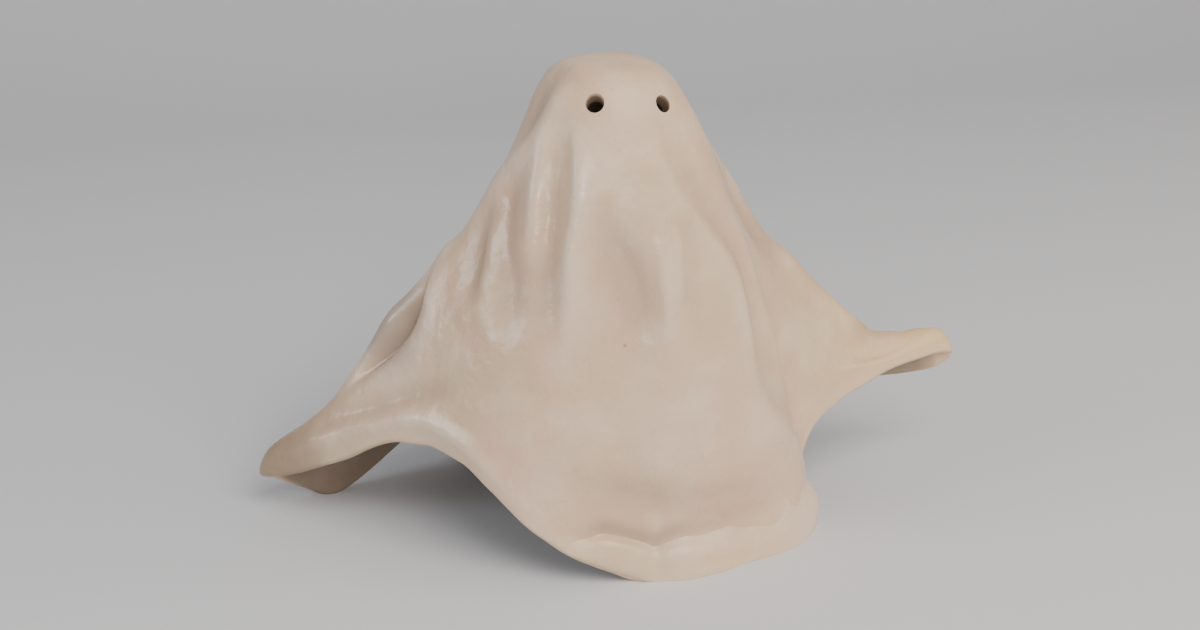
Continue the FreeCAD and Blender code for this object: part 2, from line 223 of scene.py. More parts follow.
# %% [markdown]
# ## The dense grid
# The grid has to be fine enough for the narrowest fold, a few millimetres across, and coarse
# enough to stay light. At each point, the way out of the sheet is square to the two lines of the
# grid that cross there. Folds, thickness and the bead are all measured along it.

# %% The grid of the outer face and its way out
AROUND = 432
DOWN = 150

down_weights = clamped_weights(len(net), DOWN)
round_weights = closed_weights(COLUMNS, AROUND)
smooth = np.einsum("vj,jkx,uk->vux", down_weights, net, round_weights)


def facing(grid):
    """Unit vectors that stand out of a grid of points."""
    across = np.roll(grid, -1, 1) - np.roll(grid, 1, 1)
    along = np.gradient(grid, axis=0)
    out = np.cross(along, across)
    out /= np.maximum(np.linalg.norm(out, axis=2, keepdims=True), TINY)
    out[0] = (0, 0, 1)
    return out


out = facing(smooth)
print("outward at the crown", out[1, 0].round(2), "grid", smooth.shape)

# %% [markdown]
# ## The folds
# Clay sags between the places that hold it up, so shallow valleys and soft ridges run down from
# the head. Each fold is a line drawn on the skin, with a width on its left and one on its right in
# millimetres, so a ridge can be steep one way and easy the other. A point of the line has its
# station round the hem, its row down from the crown, and its height: below zero is a valley.
# Sculpting could do this too, but a named line is easy to move or deepen later.

# %% The lines of the folds
FOLDS = [
    ("cheek flat", 8, 8, [
        (24.2, 0.5, 0), (24.8, 1.0, -1.6), (25.6, 1.6, -1.6), (25.9, 2.2, -0.8), (26.0, 2.7, 0)]),
    ("cheek ridge", 5, 5, [
        (26.8, 1.0, 0), (26.6, 1.5, 1.4), (26.1, 2.1, 1.8), (25.0, 2.6, 2.0), (23.6, 3.0, 2.0),
        (22.4, 3.4, 1.2), (21.6, 3.7, 0)]),
    ("ridge under the left eye", 2.2, 5, [
        (28.2, 1.8, 0), (28.35, 2.2, 1.1), (28.5, 2.7, 2.0), (28.5, 3.2, 2.1), (28.4, 3.6, 1.9),
        (28.43, 4.2, 1.5), (28.45, 4.8, 0.9), (28.5, 5.4, 0)]),
    ("valley beside it", 4.2, 3.4, [
        (27.7, 1.7, 0), (27.6, 2.2, -0.7), (27.6, 2.7, -1.7), (27.75, 3.4, -2.3),
        (27.85, 4.1, -1.8), (27.95, 4.7, -1.0), (28.0, 5.2, 0)]),
    ("second ridge", 3.4, 3.2, [
        (26.6, 1.9, 0), (26.65, 2.3, 1.2), (26.85, 2.8, 1.6), (27.1, 3.3, 1.5), (27.2, 3.8, 0.8),
        (27.2, 4.2, 0)]),
    ("valley past it", 5, 4, [
        (25.4, 2.6, 0), (25.6, 3.1, -1.4), (26.2, 3.8, -1.6), (26.7, 4.4, -1.4), (27.0, 5.0, -1.0),
        (27.1, 5.6, 0)]),
    ("dent", 9, 9, [(27.2, 3.8, 0), (27.3, 4.3, -1.2), (27.2, 4.9, -1.2), (27.1, 5.5, 0)]),
    ("valley by the shoulder", 6, 3.5, [
        (23.6, 3.1, 0), (24.3, 3.6, -1.8), (24.9, 4.1, -2.6), (25.3, 4.6, -2.0), (25.6, 5.1, 0)]),
    ("shoulder ridge", 3, 6, [
        (21.8, 3.5, 0), (22.5, 4.0, 1.0), (23.1, 4.34, 1.6), (23.75, 4.7, 1.8), (24.05, 5.0, 1.6),
        (24.1, 5.25, 1.5), (23.9, 5.55, 1.2), (23.5, 5.9, 0.8), (23.1, 6.3, 0)]),
    ("behind the shoulder", 5, 2.6, [
        (21.7, 3.9, 0), (22.4, 4.3, -2.5), (23.0, 4.7, -4.0), (23.35, 5.0, -4.2), (23.4, 5.2, -4.2),
        (23.2, 5.45, -3.4), (22.9, 5.75, -1.6), (22.6, 6.1, 0)]),
    ("rear strip", 7, 4, [
        (20.9, 3.6, 0), (21.4, 4.0, 2.8), (21.8, 4.5, 4.6), (22.0, 5.0, 4.6), (22.1, 5.5, 3.0),
        (22.2, 6.1, 0)]),
    ("arm groove", 4, 4, [
        (26.2, 6.7, 0), (25.6, 6.9, -1.2), (25.1, 7.0, -1.9), (24.6, 7.05, -1.9),
        (24.0, 6.92, -1.6), (23.6, 7.0, -1.0), (23.2, 7.1, 0)]),
    ("arch lip", 3.2, 3.2, [
        (23.0, 7.9, 0), (23.3, 7.7, 0.8), (23.7, 7.5, 1.2), (24.12, 7.4, 1.2), (24.6, 7.6, 1.2),
        (25.28, 7.58, 1.4), (26.16, 7.64, 1.3), (26.9, 7.72, 1.2), (27.6, 7.8, 0.8),
        (28.3, 7.85, 0.4)]),
    ("middle valley", 8, 5.5, [
        (28.95, 2.9, 0), (29.15, 3.15, -1.3), (29.35, 3.4, -2.2), (29.6, 3.65, -2.8),
        (29.82, 3.9, -3.2), (29.98, 4.2, -3.2), (30.08, 4.5, -2.7), (30.12, 4.85, -1.6),
        (30.15, 5.3, -0.6), (30.18, 5.8, 0)]),
    ("its right edge", 1.5, 3, [
        (30.6, 3.1, 0), (30.62, 3.5, 0.6), (30.64, 3.85, 1.4), (30.67, 4.15, 1.7),
        (30.7, 4.45, 1.4), (30.73, 4.75, 0.8), (30.76, 5.1, 0)]),
    ("thin ridge", 2.5, 2.5, [
        (31.05, 3.3, 0), (31.05, 3.6, 0.8), (31.05, 4.2, 0.9), (31.1, 4.6, 0)]),
    ("thin valley", 3.2, 3.2, [
        (31.3, 3.1, 0), (31.4, 3.5, -1.1), (31.4, 4.2, -1.2), (31.4, 4.7, -0.6), (31.4, 5.1, 0)]),
    ("long valley", 4, 5.5, [
        (31.2, 1.7, 0), (31.4, 2.2, -1.2), (31.6, 2.8, -1.6), (32.05, 3.15, -1.8),
        (32.85, 3.65, -2.4), (33.3, 4.1, -2.8), (33.35, 4.6, -2.8), (33.3, 5.1, -2.4),
        (33.15, 5.6, -2.0), (33.3, 6.1, -1.6), (34.2, 6.7, -1.2), (34.8, 7.2, 0)]),
    ("its left edge", 5, 2.5, [
        (32.1, 3.5, 0), (32.6, 3.8, 0.6), (32.9, 4.15, 0.9), (32.95, 4.65, 1.0), (32.8, 5.2, 0.7),
        (32.7, 5.8, 0)]),
    ("ridge beyond", 7, 7, [
        (33.6, 3.4, 0), (33.9, 4.0, 1.0), (34.0, 4.8, 1.2), (34.0, 5.5, 0.8), (34.0, 6.0, 0)]),
    ("faint valley", 3.5, 3.5, [
        (35.7, 4.3, 0), (35.7, 4.8, -0.8), (35.4, 5.7, -0.8), (35.2, 6.2, 0)]),
    ("kink by the right arm", 7, 7, [
        (36.4, 2.6, 0), (37.0, 3.0, -1.8), (37.9, 3.6, -3.4), (38.9, 4.0, -2.8), (39.8, 4.3, 0)]),
    ("hollow above the front hem", 6, 6, [
        (28.3, 6.9, 0), (29.0, 7.06, -1.0), (29.6, 7.03, -1.8), (30.42, 7.09, -2.0),
        (31.4, 7.2, -1.8), (32.45, 7.3, -1.2), (33.2, 7.45, 0)]),
    ("temple", 6, 6, [(24.0, 1.2, 0), (24.0, 1.6, -1.2), (24.1, 2.1, -1.5), (24.2, 2.6, 0)]),
    ("right slope", 6, 6, [(9.0, 2.5, 0), (9.6, 2.9, 1.3), (10.1, 3.3, 1.5), (10.3, 3.9, 0)]),
    ("arm saddle", 6, 6, [(8.4, 5.9, 0), (9.2, 6.0, -1.6), (10.4, 6.1, -1.6), (11.4, 6.1, 0)]),
    ("belly swell", 12, 12, [(30.0, 5.4, 0), (30.4, 5.9, 0.8), (30.6, 6.3, 0.8), (30.8, 6.8, 0)]),
    ("back valley", 9, 7, [
        (15.6, 2.0, 0), (15.5, 2.8, -0.9), (15.2, 4.0, -1.4), (15.0, 5.2, -1.0), (15.0, 6.2, 0)]),
    ("back ridge", 6, 8, [(16.4, 2.4, 0), (16.5, 3.2, 0.7), (16.4, 4.4, 0.9), (16.2, 5.6, 0)]),
    ("second back valley", 7, 9, [
        (17.4, 2.2, 0), (17.6, 3.2, -0.9), (17.7, 4.4, -1.2), (17.6, 5.6, -0.7), (17.5, 6.4, 0)]),
]
print(len(FOLDS), "folds:", ", ".join(fold[0] for fold in FOLDS))

# %% [markdown]
# ## From a line to a curve on the skin
# A table of a few points makes a crooked fold, so a smooth curve is run through them first. Its
# points are then looked up on the grid, each between its four neighbours.

# %% Smooth lines on the grid
LINE_STEPS = 8


def on_skin(grid, station, row):
    """A point of the grid by station and row, between its four neighbours."""
    across, along = station / len(HEM) * AROUND, row / SPANS * (DOWN - 1)
    i, j = int(across), min(int(along), DOWN - 2)
    a, b = across - i, along - j
    left, right = i % AROUND, (i + 1) % AROUND
    return ((grid[j, left] * (1 - a) + grid[j, right] * a) * (1 - b)
            + (grid[j + 1, left] * (1 - a) + grid[j + 1, right] * a) * b)


def drawn(path):
    """A smooth curve through the points of a path."""
    points = np.array(path, float)
    ends = np.concatenate([[2 * points[0] - points[1]], points, [2 * points[-1] - points[-2]]])
    line = []
    for k in range(1, len(ends) - 2):
        before, here, there, after = ends[k - 1:k + 3]
        start, end, rise = (there - before) / 2, (after - here) / 2, there - here
        bend, twist = 3 * rise - 2 * start - end, start + end - 2 * rise
        line += [here + share * (start + share * (bend + share * twist))
                 for share in np.arange(LINE_STEPS) / LINE_STEPS]
    return np.array(line + [points[-1]])


print("the middle of the first fold is at", on_skin(smooth, *FOLDS[0][3][2][:2]).round(1), "mm")

# %% [markdown]
# ## Push the folds into the skin
# The skin is pushed in or out by how near it is to a line: fully on it, and less and less beside
# it, on a bell curve that leaves no step where two folds meet. The pushes of all folds are added
# up, and each is averaged a little with its neighbours, because a thumb is wider than a grid line.

# %% Lay the folds on the skin
FOLD_REACH = 3


def fold_push(grid, normals, left_width, right_width, path):
    """How far each point of the grid is pushed by one fold."""
    course = drawn(path)
    line = np.array([on_skin(grid, station, row) for station, row, height in course])
    reach = FOLD_REACH * max(left_width, right_width)
    near = np.all((grid > line.min(0) - reach) & (grid < line.max(0) + reach), axis=2)
    spots, faces = grid[near], normals[near]
    best = np.full(len(spots), np.inf)
    high, side = np.zeros(len(spots)), np.zeros(len(spots))
    for k in range(len(line) - 1):
        way = line[k + 1] - line[k]
        share = np.clip((spots - line[k]) @ way / (way @ way), 0, 1)
        gap = spots - line[k] - share[:, None] * way
        far = (gap ** 2).sum(1)
        hit = far < best
        best[hit] = far[hit]
        high[hit] = (course[k, 2] * (1 - share) + course[k + 1, 2] * share)[hit]
        side[hit] = (np.cross(way, gap) * faces).sum(1)[hit]
    width = np.where(side > 0, right_width, left_width)
    push = np.zeros(grid.shape[:2])
    push[near] = high * np.exp(-best / width ** 2)
    return push


push = sum(fold_push(smooth, out, *fold[1:]) for fold in FOLDS)
push = (np.roll(push, 1, 1) + 2 * push + np.roll(push, -1, 1)) / 4
outer = smooth + out * push[..., None]
print("pushed from", push.min().round(2), "to", push.max().round(2), "mm")

# %% [markdown]
# ## The uneven edge
# An edge that was cut and then pressed by hand is never even. Small lumps and hollows run round
# it, up to about half a millimetre along the fall of the sheet, and they die out a few millimetres
# up. Noise over the whole sheet would do it too, but it would dent the sides as well. The seed is
# fixed, so the edge comes out the same each time.

# %% Lumps of the hem
LUMPS = 80
LUMP_HEIGHT = 0.55
LUMP_ROWS = 10
LUMP_SEED = 7
EDGE_ROWS = 3


def edge_ways(grid):
    """Unit vectors that run on past the edge of a grid, as the sheet falls there."""
    edge = grid[-1] - grid[-1 - EDGE_ROWS]
    return edge / np.linalg.norm(edge, axis=1, keepdims=True)


lumpy = (closed_weights(LUMPS, AROUND)
         @ np.random.default_rng(LUMP_SEED).uniform(-1, 1, LUMPS))
low = np.clip(1 - np.arange(DOWN)[::-1] / LUMP_ROWS, 0, 1) ** 2
outer += low[:, None, None] * (edge_ways(outer) * lumpy[:, None] * LUMP_HEIGHT)
print("edge moved by up to", (np.abs(lumpy).max() * LUMP_HEIGHT).round(2), "mm")

# %% [markdown]
# ## The inner face and the rim
# The inner face is the same skin, one slab thickness in. Straight in from each point, it would
# cross itself in the narrow arms, so the way in is the mean of that point's and of four others
# beside it. The lip between the two faces is worn round by a wet sponge. Rings of the inner face
# can be wider apart, as few will see it.

# %% Rings of the slab
RIM_ROWS = 9
RIM_BULGE = 0.42
INNER_STEP = 5
EASE_STEPS = (-22, -11, 0, 11, 22)


def rim_rings(grid, inner):
    """Rings that round the edge from the outer face to the inner one."""
    edge = edge_ways(grid)
    middle, half = (grid[-1] + inner[-1]) / 2, (grid[-1] - inner[-1]) / 2
    turns = np.linspace(0, math.pi, RIM_ROWS + 2)[1:-1]
    return [middle + half * math.cos(turn) + edge * math.sin(turn) * SLAB * RIM_BULGE
            for turn in turns]


eased = sum(np.roll(out, shift, 1) for shift in EASE_STEPS) / len(EASE_STEPS)
inner = outer - eased * SLAB
rings = list(outer[1:]) + rim_rings(outer, inner) + list(inner[:0:-INNER_STEP])
crown, vault = outer[0].mean(0), inner[0].mean(0)
print(len(rings), "rings from the crown round the lip to the vault inside")

# %% [markdown]
# ## One closed slab
# The rings are joined one by one into a mesh, with a point to close each end. So the slab is one
# closed surface whose thickness shows at the hem, as in cut clay. A Solidify modifier could give
# the thickness, but not a lip of its own form, and it would cross itself in the arms.

# %% Join the rings
def in_place(points):
    """Points of the sheet, moved from its own axis to where the solid stands, in metres."""
    return (points + np.array([AXIS[0], AXIS[1], 0])) * MM


def closed_skin(name, rings, top, bottom):
    """A mesh of rings with a point closing each end, faces outwards."""
    count = len(rings[0])
    last = (len(rings) - 1) * count
    corners = np.concatenate([np.concatenate(rings), [top, bottom]])
    faces = []
    for i in range(count):
        ahead = (i + 1) % count
        faces.append((len(corners) - 2, i, ahead))
        faces.append((len(corners) - 1, last + ahead, last + i))
        for j in range(len(rings) - 1):
            here, below = j * count, (j + 1) * count
            faces.append((here + i, below + i, below + ahead, here + ahead))
    mesh = bpy.data.meshes.new(name)
    mesh.from_pydata(in_place(corners), [], faces)
    piece = bpy.data.objects.new(name, mesh)
    bpy.context.scene.collection.objects.link(piece)
    shape = bmesh.new()
    shape.from_mesh(mesh)
    bmesh.ops.recalc_face_normals(shape, faces=shape.faces)
    bmesh.ops.triangulate(shape, faces=shape.faces)
    shape.to_mesh(mesh)
    shape.free()
    return piece


sheet = closed_skin("glazed_sheet", rings, crown, vault)
print("sheet", len(sheet.data.polygons), "triangles")

# %% [markdown]
# ## The rolled front hem
# At the front the sheet's edge is turned up on itself and pressed down, which leaves a low bead on
# the hem. It could be a pipe along the edge, but a pipe looks laid on. Here every ring of the bead
# is measured on the skin itself, from a line above the edge to just under it, so its top feathers
# out into the sheet as a thumb would leave it.
#
# A row of the table has the station, the row of the bead's top, how proud the bead stands in
# millimetres, and its feather: the share of its height, from the top down, that rises gently.

# %% One ring of the bead
BEAD = [
    (28.7, 7.86, 0.2, 0.5), (29.0, 7.72, 1.2, 0.4), (29.3, 7.58, 2.5, 0.3), (29.6, 7.56, 2.9, 0.25),
    (30.05, 7.6, 2.5, 0.25), (30.35, 7.62, 1.7, 0.3), (30.7, 7.54, 2.6, 0.3), (31.4, 7.5, 3.0, 0.5),
    (32.0, 7.5, 2.4, 0.8), (32.6, 7.45, 2.2, 0.9), (33.2, 7.45, 2.3, 0.9), (33.7, 7.42, 3.0, 0.6),
    (34.1, 7.48, 2.6, 0.5), (34.45, 7.8, 0.5, 0.5),
]
BEAD_UNDER = 1.1
BEAD_SUNK = 0.35
BEAD_SIDES = 28


def bead_ring(column, top_row, proud, feather):
    """One ring of the bead, at a column of the skin."""
    line, away = outer[::-1, column], out[::-1, column]
    climbed = np.concatenate([[0], np.cumsum(np.linalg.norm(np.diff(line, axis=0), axis=1))])
    edge_way = line[0] - line[EDGE_ROWS]
    edge_way /= np.linalg.norm(edge_way)
    top = np.interp((SPANS - top_row) / SPANS * (DOWN - 1), np.arange(DOWN), climbed)
    ring = []
    for side in range(BEAD_SIDES):
        turn = 2 * math.pi * side / BEAD_SIDES
        up = (top - BEAD_UNDER) / 2 + (top + BEAD_UNDER) / 2 * math.cos(turn)
        fallen = (1 - math.cos(turn)) / 2
        rise = min(1.0, fallen / feather)
        swell = rise * rise * (3 - 2 * rise) * math.sqrt(1 - fallen ** 4)
        lift = (proud * swell if math.sin(turn) > 0 else math.sin(turn)) - BEAD_SUNK
        spot = np.array([np.interp(up, climbed, line[:, k]) for k in range(3)])
        way = np.array([np.interp(up, climbed, away[:, k]) for k in range(3)])
        ring.append(spot - edge_way * min(up, 0.0) + way * lift)
    return np.array(ring)


print("bead from station", BEAD[0][0], "to", BEAD[-1][0])

# %% [markdown]
# ## Run the bead along the hem
# One ring stands at each column of the skin from the bead's first station to its last, with the
# values of the table run smoothly between its rows. The same joining of rings then closes it.

# %% The bead along the front hem
bead_line = drawn(BEAD)
first_column = math.ceil(bead_line[0, 0] / len(HEM) * AROUND)
last_column = math.floor(bead_line[-1, 0] / len(HEM) * AROUND)
bead_rings = []
for column in range(first_column, last_column + 1):
    station = column / AROUND * len(HEM)
    values = [np.interp(station, bead_line[:, 0], bead_line[:, k]) for k in (1, 2, 3)]
    bead_rings.append(bead_ring(column % AROUND, *values))
bead = closed_skin("rolled_front_hem", bead_rings, bead_rings[0].mean(0), bead_rings[-1].mean(0))
print("bead", len(bead_rings), "rings,", len(bead.data.polygons), "triangles")

# %% [markdown]
# ## A wire that can be added up
# Node trees read best as sums. A Wire is one output of a node, and writing a sum with it adds the
# maths node that does it, so the lines below look like the rule they follow. Vectors get Vector
# Math, because a plain maths node would make one number of them.

# %% Wires
class Wire:
    """One output of a node, which takes part in sums."""

    def __init__(self, pen, socket):
        self.pen, self.socket = pen, socket

    def sum(self, operation, first, second):
        """The node that works out first and second, for numbers, vectors or one of each."""
        parts = (first, second)
        vectors = [part.socket.type == "VECTOR" if isinstance(part, Wire)
                   else isinstance(part, tuple) for part in parts]
        if any(vectors) and not all(vectors):
            vector, number = parts if vectors[0] else parts[::-1]
            return self.pen.node("ShaderNodeVectorMath", {"operation": "SCALE"},
                                 {0: vector, "Scale": number})
        kind = "ShaderNodeVectorMath" if all(vectors) else "ShaderNodeMath"
        return self.pen.node(kind, {"operation": operation}, {0: first, 1: second})

    def __add__(self, other):
        return self.sum("ADD", self, other)

    def __radd__(self, other):
        return self.sum("ADD", other, self)

    def __sub__(self, other):
        return self.sum("SUBTRACT", self, other)

    def __rsub__(self, other):
        return self.sum("SUBTRACT", other, self)

    def __mul__(self, other):
        return self.sum("MULTIPLY", self, other)

    def __rmul__(self, other):
        return self.sum("MULTIPLY", other, self)

    def __truediv__(self, other):
        return self.sum("DIVIDE", self, other)

    def __rtruediv__(self, other):
        return self.sum("DIVIDE", other, self)

    def __pow__(self, other):
        return self.sum("POWER", self, other)

    def held(self, low=0.0, high=1.0):
        """Kept between two values."""
        return self.pen.node("ShaderNodeClamp", {}, {"Value": self, "Min": low, "Max": high})

    def between(self, low, high):
        """0 at low and below, 1 at high and above, with a soft start and end."""
        return self.pen.node(
            "ShaderNodeMapRange", {"interpolation_type": "SMOOTHSTEP"},
            {"Value": self, "From Min": low, "From Max": high, "To Min": 0.0, "To Max": 1.0})


print("a wire takes part in", "+ - * / **")

# %% [markdown]
# ## A pen for node trees
# The pen places any other node in one call: its type, its settings, which come first because some
# of them change the sockets, and then its inputs. Paint is given as the eye sees it on a screen,
# and turned into the values that shaders reckon with.

# %% Pens and paint
class Pen:
    """Writes nodes into one tree."""

    def __init__(self, tree):
        self.tree = tree

    def node(self, kind, settings=None, inputs=None, out=0):
        """Place a node. It gives back the wire of its output called out, or itself for None."""
        made = self.tree.nodes.new(kind)
        for name, value in (settings or {}).items():
            setattr(made, name, value)
        for name, value in (inputs or {}).items():
            socket = made.inputs[name]
            if isinstance(value, Wire):
                self.tree.links.new(value.socket, socket)
            else:
                socket.default_value = value
        return made if out is None else Wire(self, made.outputs[out])

    def mix(self, share, first, second):
        """A colour between two colours. A Mix node has its colour sockets at 6, 7 and 2."""
        return self.node("ShaderNodeMix", {"data_type": "RGBA"},
                         {0: share, 6: first, 7: second}, out=2)


def paint(red, green, blue):
    """A colour as seen on a screen, in the values that the shaders use."""
    return tuple(((c / 255 + 0.055) / 1.055) ** 2.4 if c > 10 else c / 3295
                 for c in (red, green, blue)) + (1.0,)


def bare_material(name):
    """A material with an empty tree, and a pen for it."""
    material = bpy.data.materials.new(name)
    material.use_nodes = True
    material.node_tree.nodes.clear()
    return material, Pen(material.node_tree)


print("cream", [round(c, 3) for c in paint(212, 181, 147)])

# %% [markdown]
# ## What a glaze can read
# A glaze on a pot changes with the place and with the shape under it. So this one reads three
# things at a point: where it is on the object, what the mesh carries there, and solid noise. An
# image wrapped round the pot would need seams, and this needs none.

# %% The face of the clay
class ClayFace:
    """What a glaze can read at a point of the clay."""

    def __init__(self, pen):
        self.pen = pen
        self.where = pen.node("ShaderNodeTexCoord", out="Object")
        self.x, self.y, self.z = [
            pen.node("ShaderNodeSeparateXYZ", {}, {0: self.where}, out=axis) for axis in "XYZ"]

    def carried(self, label):
        """A number that the mesh carries."""
        return self.pen.node("ShaderNodeAttribute", {"attribute_name": label}, out="Fac")

    def noise(self, size, detail, rough=0.5, stretch=(1.0, 1.0, 1.0)):
        """Solid noise whose patches are about size metres across."""
        return self.pen.node("ShaderNodeTexNoise", {}, {
            "Vector": self.where * stretch, "Scale": 1 / size, "Detail": detail,
            "Roughness": rough}, out="Fac")

    def far_from(self, spot, stretch=(1.0, 1.0, 1.0)):
        """How many metres a point is from a spot. A stretch of 0 leaves a direction out."""
        return self.pen.node("ShaderNodeVectorMath", {"operation": "DISTANCE"},
                             {0: self.where * stretch, 1: spot}, out="Value")


print("a glaze reads place, noise and the numbers that the mesh carries")

# %% [markdown]
# ## Where the glaze changes
# A satin cream glaze on buff clay is not one colour. It breaks lighter where it runs thin over the
# rim, and it lies warmer and deeper in the valleys where it pooled; the lighter ridges and darker
# valleys also carry painted light and painted shade. A thin dark line above the rolled hem is
# painted shadow under the sheet's overhang. The right arm is warmer by painted warm light, the
# brown stain at the left tip is deepened by painted shade, the dull patch behind the left shoulder
# is painted shade, and the crown is drier. There is one pinhole, and the clay is bare inside and in
# the eyes, where its dark tone is partly painted shade. Each of these is a mask, from 0 to 1.

# %% Masks of the glaze
LEFT_TIP = (-0.117, 0.012, 0.014)
REAR_STRIP = (-0.074, -0.002, 0.067)
PINHOLE = (-0.0108, 0.0, 0.072)


def glaze_masks(face):
    """Where each change of the glaze shows."""
    fold = face.carried("fold_height")
    by_tip = 1 - face.far_from(LEFT_TIP).between(0.006, 0.055)
    at_pinhole = 1 - face.far_from(PINHOLE, (1.0, 0.0, 1.0)).between(0.0003, 0.0008)
    in_front = 1 - face.y.between(-0.04, -0.03)
    return {
        "clouds": face.noise(0.045, 3.0).between(0.35, 0.65),
        "patches": face.noise(0.016, 4.0).between(0.4, 0.72),
        "blush": face.noise(0.028, 2.0).between(0.55, 0.72),
        "flecks": face.noise(0.0016, 2.0, 0.7).between(0.66, 0.74),
        # Valleys darker and ridges lighter by fold height: partly glaze pooling and thinning,
        # partly painted shade and painted light.
        "valley": (fold * -0.21).held(0.0, 0.52),
        "ridge": (fold * 0.24).held(0.0, 0.5),
        # Painted warm light on the right arm.
        "warm light on arm": face.x.between(0.035, 0.11),
        "dry crown": face.z.between(0.115, 0.14),
        # Painted shade on the rear strip behind the left shoulder.
        "rear strip shade": 1 - face.far_from(REAR_STRIP).between(0.008, 0.021),
        # A brown stain at the left tip, deepened by painted shade.
        "tip stain and shade": by_tip * face.noise(0.012, 3.0).between(0.1, 0.6),
        "roll end": face.x.between(0.034, 0.05),
        "pinhole": at_pinhole * in_front,
        "hem": face.carried("near_hem"),
        # A thin painted shadow line above the rolled hem, under the sheet's overhang.
        "shadow_above_bead": face.carried("shadow_above_bead"),
        # Bare clay inside and in the eyes, its dark tone partly painted shade.
        "bare_and_shade": face.carried("bare_clay_and_shade"),
    }


print("the left tip, the rear strip and the pinhole are at", LEFT_TIP, REAR_STRIP, PINHOLE)

# %% [markdown]
# ## The colours of the glaze
# The colours go on in layers, each over those before it, from the widest change to the smallest,
# as the real ones lie over each other. The share of a layer is its mask times how strong it is.
# Thin glaze, as on the rolled hem, lets a paler tone through everywhere and takes less of the
# painted shadow line.

# %% Layers of colour
def glaze_colour(pen, mask, thin):
    """The colour of the glaze. thin is how much thinner it lies than on the sheet."""
    layers = [
        (mask["patches"] * 0.5, paint(226, 203, 176)),
        # Painted warm light on the right arm.
        (mask["warm light on arm"] * 0.75, paint(230, 194, 140)),
        # Valley and ridge tints: partly glaze pooling and thinning, partly painted shade and
        # painted light.
        (mask["valley"], paint(178, 148, 124)),
        (mask["ridge"], paint(236, 218, 200)),
        (mask["blush"] * 0.3, paint(216, 168, 146)),
        # Painted shade behind the left shoulder.
        (mask["rear strip shade"] * 0.6, paint(134, 114, 102)),
        (mask["hem"] * 0.5 + thin, paint(228, 200, 166)),
        # Painted shadow line above the rolled hem.
        (mask["shadow_above_bead"] * (0.62 - thin * 3.0), paint(158, 128, 104)),
        (mask["roll end"] * thin * 2.0, paint(226, 212, 200)),
        # Brown stain at the left tip, deepened by painted shade.
        (mask["tip stain and shade"] * 0.75, paint(130, 106, 76)),
        (mask["flecks"] * 0.25, paint(166, 136, 104)),
        (mask["pinhole"] * 0.45, paint(120, 90, 70)),
        # Bare clay, painted darker as shade inside the sheet and in the eye holes.
        (mask["bare_and_shade"] * 0.9, paint(106, 92, 80)),
    ]
    colour = pen.mix(mask["clouds"], paint(212, 181, 147), paint(218, 184, 155))
    for share, tint in layers:
        colour = pen.mix(share, colour, tint)
    return colour


print("ground tones", paint(212, 181, 147)[:3], paint(218, 184, 155)[:3])

# %% [markdown]
# ## The gloss of the glaze
# It is satin, not wet: the highlights on the head are broken and soft. Under it the brush and the
# fingers leave low marks that only show in the gloss, so they are a bump and not a shape. It is
# rougher where it lies thin, where the clay is bare and on the crown.

# %% Cream glaze
def glaze(name, thin):
    """Satin cream glaze. thin is how much thinner, so paler and drier, it lies."""
    material, pen = bare_material(name)
    face = ClayFace(pen)
    mask = glaze_masks(face)
    rough = (0.29 + mask["patches"] * 0.12 + mask["hem"] * 0.08 - mask["clouds"] * 0.06
             + mask["bare_and_shade"] * 0.3 + mask["dry crown"] * 0.3 + thin * 0.7)
    brushed = face.noise(0.012, 3.0, 0.55, (1.0, 1.0, 0.3))
    dimples = face.noise(0.0035, 2.0)
    bump = pen.node("ShaderNodeBump", {}, {
        "Strength": 0.6, "Distance": 0.0012, "Height": brushed * 0.65 + dimples * 0.35},
        out="Normal")
    shader = pen.node("ShaderNodeBsdfPrincipled", {}, {
        "Base Color": glaze_colour(pen, mask, thin), "Roughness": rough, "Normal": bump,
        "IOR": 1.6, "Coat Weight": 0.15, "Coat Roughness": 0.2, "Coat IOR": 1.5,
        "Subsurface Weight": 0.0}, out="BSDF")
    pen.node("ShaderNodeOutputMaterial", {}, {"Surface": shader}, out=None)
    return material


cream = glaze("cream_glaze", 0.0)
hem_cream = glaze("hem_glaze", 0.15)
print("materials", cream.name, hem_cream.name)

# %% [markdown]
# ## The eye punch
# The eyes are pushed through with a round tool, square to the face at each eye. The punch is a rod
# that widens towards its mouth, because wet clay drags inwards round a hole. Drawn by hand, both
# holes would have to be redone with every change of the sheet, so a tree of nodes makes the rod
# once and stands it at two points.

# %% Two flared punches
EYE_SIZES = [
    ("Eye bore", 0.0050), ("Eye flare", 0.2), ("Eye middle", 0.0012), ("Eye spacing", 0.0206),
    ("Eye forward", 0.0180), ("Eye height", 0.1406), ("Eye pitch", 38.0), ("Eye turn", 16.0),
    ("Eye reach", 0.011),
]
MOUTH = 0.0016
DEGREE = math.pi / 180


